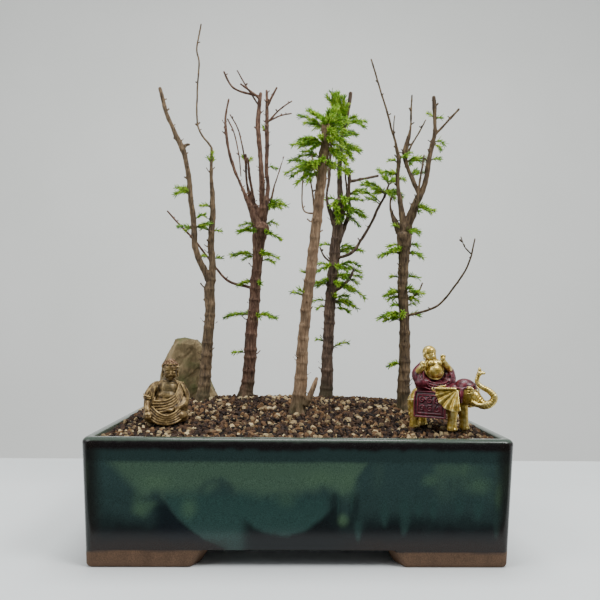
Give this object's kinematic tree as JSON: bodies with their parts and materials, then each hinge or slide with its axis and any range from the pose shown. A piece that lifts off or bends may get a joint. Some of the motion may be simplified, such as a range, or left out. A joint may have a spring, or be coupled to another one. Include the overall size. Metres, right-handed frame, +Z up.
{
  "type": "bonsai forest in a pot",
  "caption": "Group planting of five upright bonsai trees with spring foliage, a standing stone and two small figurines in a rectangular glazed pot on four corner feet.",
  "frame": {"origin": "the middle of the pot's footprint, at the underside of its feet", "axes": "+Z up; +X to the right and -Y towards the viewer, along the pot's long side"},
  "size_m": [0.4, 0.29, 0.5983],
  "materials": {
    "glazed_stoneware": "gloss",
    "screen_mesh": "matte",
    "steel_wire": "satin",
    "gritty_soil": "matte",
    "river_stone": "matte",
    "antique_bronze": "satin",
    "gold_and_maroon": "gloss",
    "root_wood": "matte",
    "bark": "matte",
    "needles": "matte"
  },
  "bodies": {
    "root": {"pot": "glazed_stoneware", "drain_screen_left": "screen_mesh", "screen_clip_left": "steel_wire", "drain_screen_right": "screen_mesh", "screen_clip_right": "steel_wire", "soil": "gritty_soil", "standing_stone": "river_stone", "seated_figurine": "antique_bronze", "elephant_figurine": "gold_and_maroon", "trunk_1": "bark", "roots_1": "root_wood", "stem_1_left": "bark", "twig_1_top": "bark", "trunk_2": "bark", "roots_2": "root_wood", "stem_2_left": "bark", "stem_2_inner": "bark", "stem_2_centre": "bark", "stem_2_right": "bark", "twig_2_top_left": "bark", "branch_2_low": "bark", "trunk_3": "bark", "roots_3": "root_wood", "twig_3_left": "bark", "trunk_4": "bark", "roots_4": "root_wood", "stem_4_main": "bark", "stem_4_left": "bark", "stem_4_right": "bark", "branch_4_side": "bark", "branch_4_long": "bark", "trunk_5": "bark", "roots_5": "root_wood", "stem_5_right": "bark", "stem_5_centre": "bark", "stem_5_left": "bark", "stem_5_outer": "bark", "twig_5_top": "bark", "branch_5_low": "bark", "foliage_1_upper": "needles", "foliage_1_lower": "needles", "foliage_2_fork": "needles", "foliage_2_stem": "needles", "foliage_2_trunk": "needles", "foliage_2_low": "needles", "foliage_3_lower": "needles", "foliage_3_upper": "needles", "foliage_3_top": "needles", "foliage_4_top": "needles", "foliage_4_upper": "needles", "foliage_4_fork": "needles", "foliage_4_trunk": "needles", "foliage_4_middle": "needles", "foliage_4_low": "needles", "foliage_4_branch": "needles", "foliage_5_centre": "needles", "foliage_5_fork": "needles", "foliage_5_neck": "needles", "foliage_5_trunk": "needles", "foliage_5_low": "needles"}
  },
  "joints": []
}
